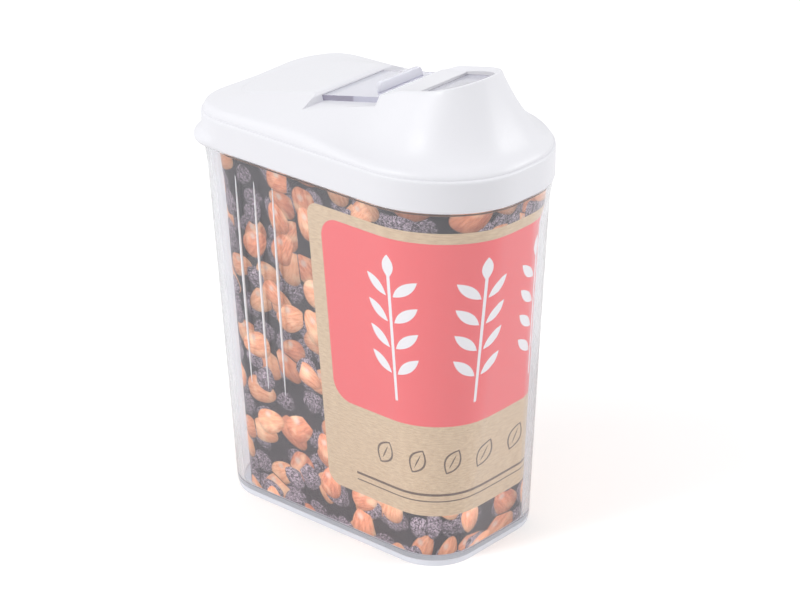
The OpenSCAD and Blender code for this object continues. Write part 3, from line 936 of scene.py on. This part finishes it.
def plate_plan(gap, rear, step_x):
    """Plan of the shutter plate, grown by gap: wide in the slot, slimmer in the spout."""
    back, step = -along(rear) - gap, along(step_x) + gap
    wide, slim = plate_half + gap, plate_round + gap
    nose = arc((along(spout_x), 0.0), slim, -90, 180, nose_steps)
    return ([(back, -wide), (step, -wide), (step, -slim)] + nose
            + [(step, slim), (step, wide), (back, wide)])


# The cuts end well above the roof and below the slab. No two of them share a plane, and the
# tunnel leaves a slim gap above the plate
cut_top, cut_bottom, hair = 12.0, -slab_depth - 1, 0.02
tunnel_rear = plate_rear + travel * slope_cos + 1
tunnel_top = -roof_skin - 0.13
slot_floor = -bed_depth + hair
slot_back, slot_ahead = -along(slot_rear), along(slot_front)
# The slot's rear edge is rolled over, from the flat of the roof down into the slot
roll_top, roll_first, roll_turn = 0.05, 72, 6
roll_edge = [(slot_back + slot_roll * (math.cos(math.radians(a)) - 1),
              roof_skin * (math.sin(math.radians(a)) - 1))
             for a in range(roll_first, -1, -roll_turn)]
slot_profile = [(slot_ahead, slot_floor), (slot_ahead, cut_top), (slot_back - slot_roll, cut_top),
                (slot_back - slot_roll, roll_top)] + roll_edge + [(slot_back, slot_floor)]
hole_plan = ([(along(hole_x), -hole_radius)]
             + arc((along(spout_x), 0.0), hole_radius, -90, 180, nose_steps)
             + [(along(hole_x), hole_radius)])
lid_mesh = combined(skin("lid", lid_rings), [
    prism("tunnel", plate_plan(plate_gap, tunnel_rear, slot_front), -bed_depth, tunnel_top),
    prism("slot", slot_profile, -mouth_width / 2, mouth_width / 2, side_view=True),
    prism("hole", hole_plan, cut_bottom, cut_top),
], "DIFFERENCE")
smooth_to_edges(lid_mesh, 30)

white_plastic, tree, surface, output = new_material("white_plastic")
surface.inputs["Base Color"].default_value = paint(231, 231, 236)
surface.inputs["IOR"].default_value = 1.49
place = object_place(tree)
grain = noise(tree, place, 900.0, 3.0, 0.6)
feed(tree, surface.inputs["Roughness"], ease(tree, grain, 0.2, 0.8, 0.34, 0.46))
unevenness = calc(tree, "ADD", product(tree, grain, 0.15), noise(tree, place, 38.0, 1.0))
bumped(tree, surface, unevenness, 0.12, 0.0004)
let_light_through(tree, surface, output, (0.92, 0.92, 0.94, 1.0), 0.5)

place_piece("lid_moulding", lid_mesh, [white_plastic], "lid", "lid")

# ---- Shutter --------------------------------------------------------------------------
# A flat tongue of clear plastic with an upright finger grip, moulded in one. It snaps into
# the tunnel and slides back under the roof to open the pouring hole.
grip_half, grip_thickness, grip_x, grip_height = 9.6, 1.7, 7.3, 3.2
grip_foot = 0.45
grip_end_round, grip_side_round, end_steps = 2.0, 0.4, 20
half_bar = grip_half - grip_thickness / 2
plate_top = -roof_skin - plate_gap
grip_top = plate_top + grip_height


def grip_ring(side_in, end_in, z):
    """Ring of the grip bar, drawn in by side_in all round and by end_in more at its ends."""
    radius = grip_thickness / 2 - side_in
    end = half_bar - end_in
    return level(arc((along(grip_x), -end), radius, 180, 180, end_steps)
                 + arc((along(grip_x), end), radius, 0, 180, end_steps), z)


grip_rings = [grip_ring(0.0, 0.0, plate_top - plate_thickness / 2),
              grip_ring(0.0, 0.0, plate_top + grip_foot)]
for tilt in range(0, 91, 10):
    drop = grip_end_round * (1 - math.sin(math.radians(tilt)))
    end_in = grip_end_round * (1 - math.cos(math.radians(tilt)))
    below_round = max(0.0, grip_side_round - drop)
    side_in = max(0.0, grip_side_round
                  - math.sqrt(max(0.0, grip_side_round ** 2 - below_round ** 2)))
    grip_rings.append(grip_ring(side_in, end_in, grip_top - drop))
plate = prism("shutter", plate_plan(0, plate_rear, plate_step_x),
              plate_top - plate_thickness, plate_top)
shutter_mesh = combined(plate, [stacked("grip", grip_rings, roof_placing)], "UNION")
smooth_to_edges(shutter_mesh, 30)

# The upright faces of the plate take the second material and the grip takes the third
to_roof = roof_placing.inverted()
to_roof_turn = roof_frame.to_3x3().inverted()
for face in shutter_mesh.polygons:
    if (to_roof @ face.center).z > plate_top + grip_foot:
        face.material_index = 2
    elif abs((to_roof_turn @ face.normal).z) < 0.3:
        face.material_index = 1

shutter_plastic, *_ = clear_moulding(
    "shutter_plastic", paint(232, 232, 241), 0.1, 0.66, (0.97, 0.97, 0.98, 1.0))

# The tongue's upright edges are painted dark, as painted shade where they see the roof behind, and
# paler ahead of its middle, as a painted reflection
painted_shade_edge, painted_sheen_edge = paint(164, 160, 176), paint(206, 206, 222)
shutter_edge, tree, surface, _ = clear_moulding(
    "shutter_edge", painted_sheen_edge, 0.15, 0.35, (0.8, 0.8, 0.86, 1.0))
painted_sheen_share = ease(tree, split(tree, object_place(tree))[0], 0.0008, 0.0018)
painted_edge_colour = blend_colours(tree, painted_sheen_share, painted_shade_edge, painted_sheen_edge)
feed(tree, surface.inputs["Base Color"], painted_edge_colour)

# The grip is thicker than the tongue and looks milkier
shutter_grip, *_ = clear_moulding(
    "shutter_grip", paint(240, 240, 248), 0.12, 0.4, (0.95, 0.95, 0.97, 1.0))

place_piece("shutter_tongue", shutter_mesh, [shutter_plastic, shutter_edge, shutter_grip],
            "slider", "slider")

# ---- Studio ---------------------------------------------------------------------------
# A wide white floor under an even white sky, and soft lamps on both sides. Rays that come
# from the camera, from a gloss or through clear plastic meet the sky as plain white.
def seen_as_backdrop(tree):
    """1 for rays from the camera, from a gloss or through clear plastic, else 0."""
    ray = tree.nodes.new("ShaderNodeLightPath").outputs
    gloss = calc(tree, "MAXIMUM", ray["Is Glossy Ray"], ray["Is Transmission Ray"])
    return calc(tree, "MAXIMUM", ray["Is Camera Ray"], gloss)


floor_reach = 4.0
floor_corners = [(x * floor_reach, y * floor_reach, 0)
                 for x, y in ((-1, -1), (1, -1), (1, 1), (-1, 1))]
floor_mesh = bpy.data.meshes.new("floor")
floor_mesh.from_pydata(floor_corners, [], [(0, 1, 2, 3)])
floor = bpy.data.objects.new("floor", floor_mesh)
scene.collection.objects.link(floor)

floor_paint, tree, surface, _ = new_material("floor_paint")
surface.inputs["Base Color"].default_value = (0.83, 0.83, 0.83, 1.0)
surface.inputs["Roughness"].default_value = 0.9
surface.inputs["Specular IOR Level"].default_value = 0.2
surface.inputs["Emission Color"].default_value = (1.0, 1.0, 1.0, 1.0)
# The floor glows faintly for glossy and clear surfaces, and more for the camera
faint_glow, camera_glow = 0.07, 0.25
ray = tree.nodes.new("ShaderNodeLightPath").outputs
glow = calc(tree, "MULTIPLY_ADD", ray["Is Camera Ray"], camera_glow, faint_glow)
feed(tree, surface.inputs["Emission Strength"], product(tree, seen_as_backdrop(tree), glow))
floor_mesh.materials.append(floor_paint)

sky_level = 0.67
sky = bpy.data.worlds.new("sky")
sky.use_nodes = True
tree = sky.node_tree
background = tree.nodes["Background"]
sky_strength = calc(tree, "MULTIPLY_ADD", seen_as_backdrop(tree), 1.0 - sky_level, sky_level)
feed(tree, background.inputs["Strength"], sky_strength)
background.inputs["Color"].default_value = (1.0, 1.0, 1.0, 1.0)
scene.world = sky

canister_middle = Vector((0.0, 0.0, 0.09))


def soft_lamp(name, place, size, power):
    """A square area lamp that faces the middle of the canister."""
    lamp_data = bpy.data.lights.new(name, "AREA")
    lamp_data.size = size
    lamp_data.energy = power
    lamp = bpy.data.objects.new(name, lamp_data)
    lamp.location = place
    aim = canister_middle - Vector(place)
    lamp.rotation_euler = aim.to_track_quat("-Z", "Y").to_euler()
    scene.collection.objects.link(lamp)


soft_lamp("left_lamp", (-0.62, -1.17, 0.80), 0.9, 5.3)
soft_lamp("right_lamp", (0.89, 0.95, 0.74), 0.6, 6.7)
soft_lamp("gleam_lamp", (-0.31, -0.88, 1.30), 0.25, 5.4)

# ---- Camera ---------------------------------------------------------------------------
# A long lens that stands ahead of the spout and to its right, and looks down on the lid.
# Its place is in metres, as all places in the studio are.
camera_data = bpy.data.cameras.new("camera")
camera_data.sensor_width = 36.0
camera_data.lens = 132.3
camera_data.clip_end = 20.0
camera = bpy.data.objects.new("camera", camera_data)
camera.location = (0.5265, -0.5993, 0.4386)
camera.rotation_euler = (math.radians(65.03), 0.0, math.radians(40.90))
scene.collection.objects.link(camera)
scene.camera = camera
